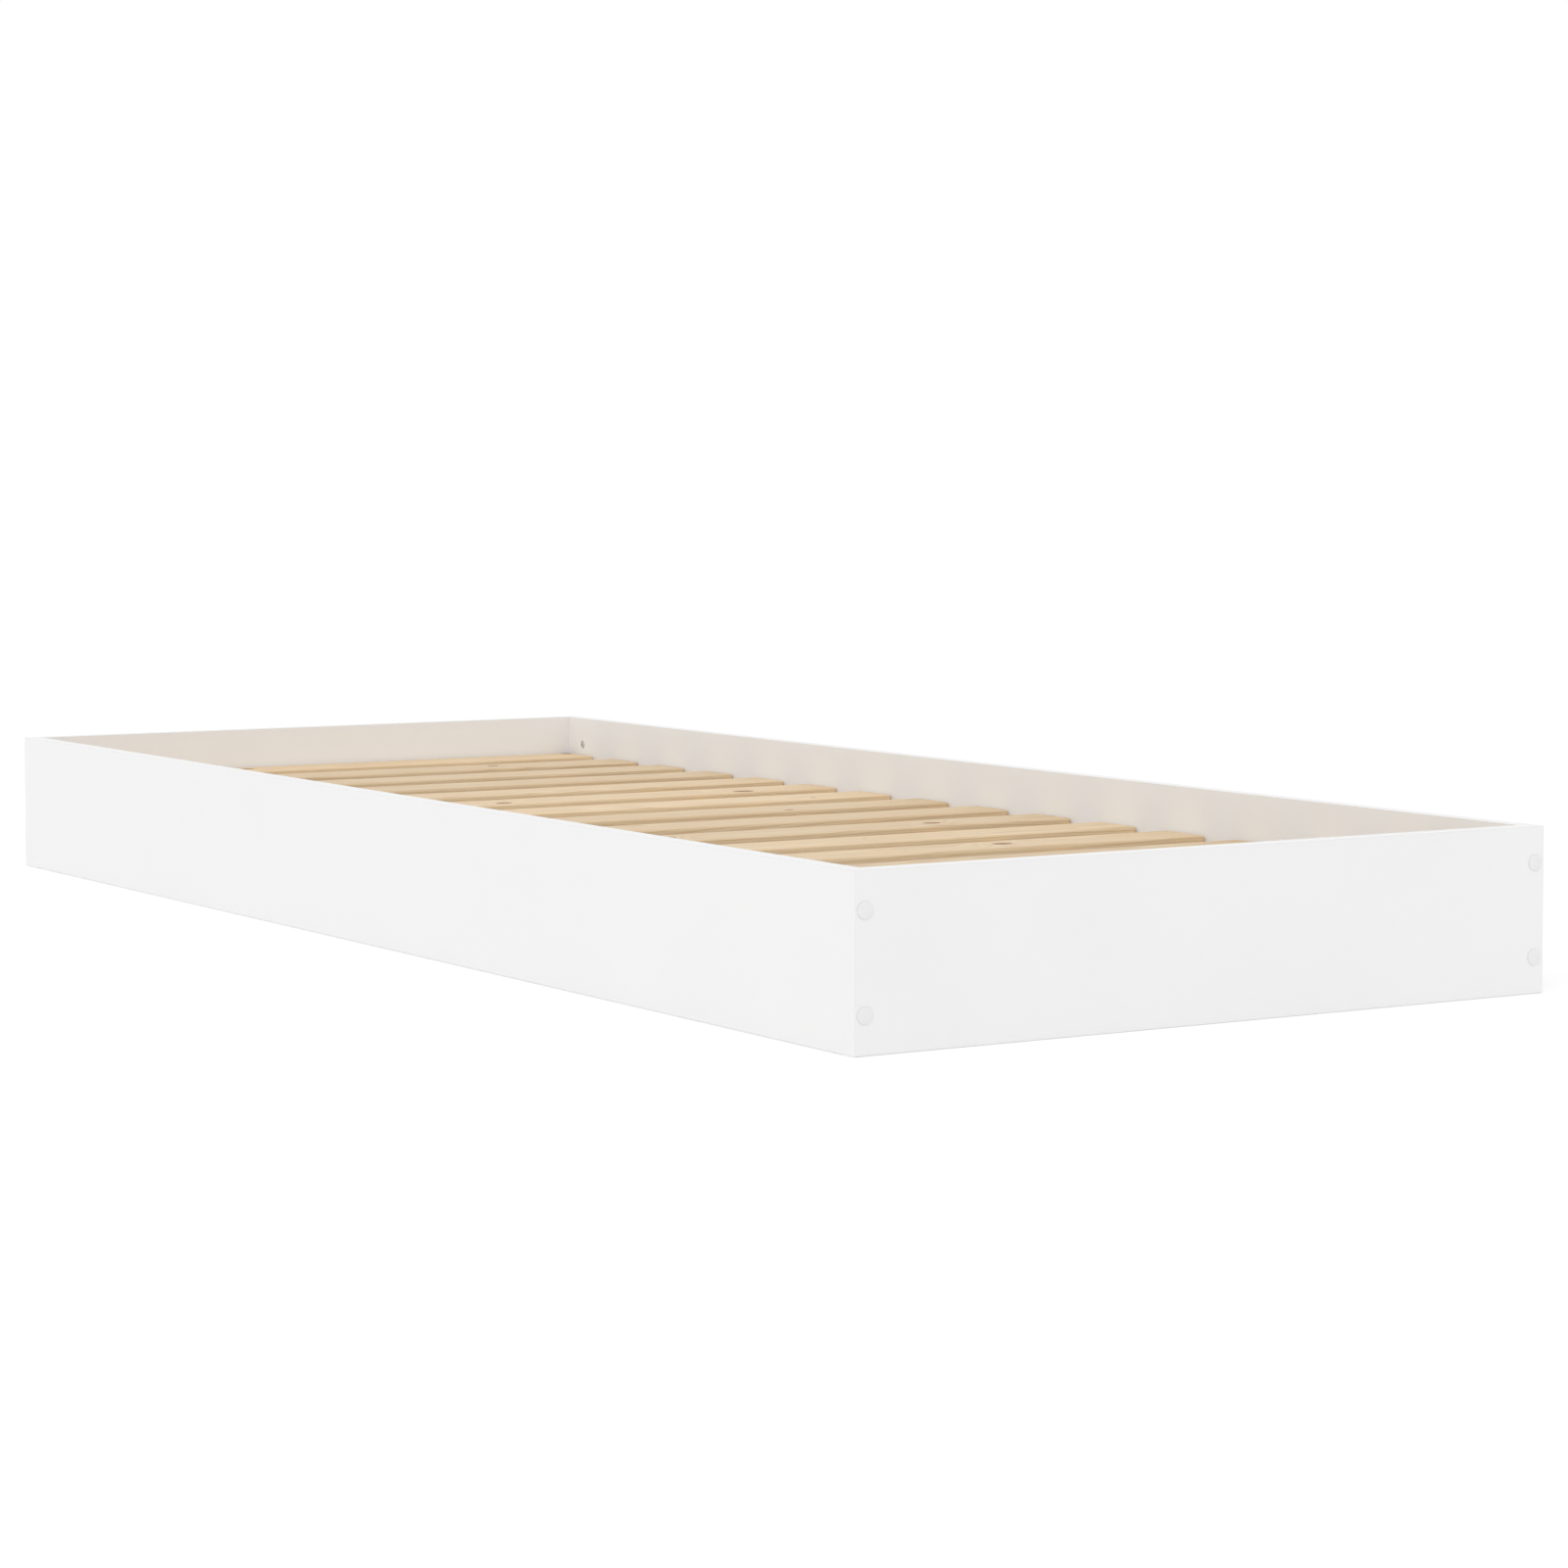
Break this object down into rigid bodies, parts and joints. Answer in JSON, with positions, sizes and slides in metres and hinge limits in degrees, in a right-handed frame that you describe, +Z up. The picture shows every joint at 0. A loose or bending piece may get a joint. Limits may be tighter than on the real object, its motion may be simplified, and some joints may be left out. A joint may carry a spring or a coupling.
{
  "type": "storage bed frame",
  "caption": "Low white box bed frame of boards on edge that stands on the floor, with slatted panels on side ledges that lift out to reach the storage space below.",
  "frame": {"origin": "on the floor under the middle of the frame", "axes": "+Z up, +Y along the bed from the foot board to the head board, +X to the right side as seen from the foot"},
  "size_m": [0.84, 2.0426, 0.172],
  "materials": {
    "white_board": "board faced in satin white, with white edge banding",
    "cap_plastic": "moulded white plastic, satin",
    "pine": "planed bare pine",
    "beech": "turned bare beech",
    "bolt_steel": "bright zinc-plated steel",
    "zinc_plate": "dull zinc-plated steel"
  },
  "bodies": {
    "frame": {"side_board_left": "white_board", "side_board_right": "white_board", "foot_board": "white_board", "head_board": "white_board", "ledge_left": "pine", "ledge_right": "pine", "bolt_foot_left_low": "bolt_steel", "bolt_foot_left_high": "bolt_steel", "bolt_foot_right_low": "bolt_steel", "bolt_foot_right_high": "bolt_steel", "bolt_head_left_low": "bolt_steel", "bolt_head_left_high": "bolt_steel", "bolt_head_right_low": "bolt_steel", "bolt_head_right_high": "bolt_steel", "barrel_nut_foot_left_low": "zinc_plate", "barrel_nut_foot_left_high": "zinc_plate", "barrel_nut_foot_right_low": "zinc_plate", "barrel_nut_foot_right_high": "zinc_plate", "barrel_nut_head_left_low": "zinc_plate", "barrel_nut_head_left_high": "zinc_plate", "barrel_nut_head_right_low": "zinc_plate", "barrel_nut_head_right_high": "zinc_plate", "cover_cap_foot_left_low": "cap_plastic", "cover_cap_foot_left_high": "cap_plastic", "cover_cap_foot_right_low": "cap_plastic", "cover_cap_foot_right_high": "cap_plastic", "cover_cap_head_left_low": "cap_plastic", "cover_cap_head_left_high": "cap_plastic", "cover_cap_head_right_low": "cap_plastic", "cover_cap_head_right_high": "cap_plastic", "dowel_foot_left": "beech", "dowel_foot_right": "beech", "dowel_head_left": "beech", "dowel_head_right": "beech"},
    "foot_panel": {"cleat_foot_left": "pine", "cleat_foot_right": "pine", "slat_01": "pine", "slat_02": "pine", "slat_03": "pine", "slat_04": "pine", "slat_05": "pine", "slat_06": "pine", "slat_07": "pine", "slat_08": "pine"},
    "head_panel": {"cleat_head_left": "pine", "cleat_head_right": "pine", "slat_09": "pine", "slat_10": "pine", "slat_11": "pine", "slat_12": "pine", "slat_13": "pine", "slat_14": "pine", "slat_15": "pine", "slat_16": "pine"}
  },
  "joints": [
    {"name": "foot_panel_lift", "type": "slide", "parent": "frame", "child": "foot_panel", "axis": [0, 0, 1], "range_m": [0, 0.12]},
    {"name": "head_panel_lift", "type": "slide", "parent": "frame", "child": "head_panel", "axis": [0, 0, 1], "range_m": [0, 0.12]}
  ]
}
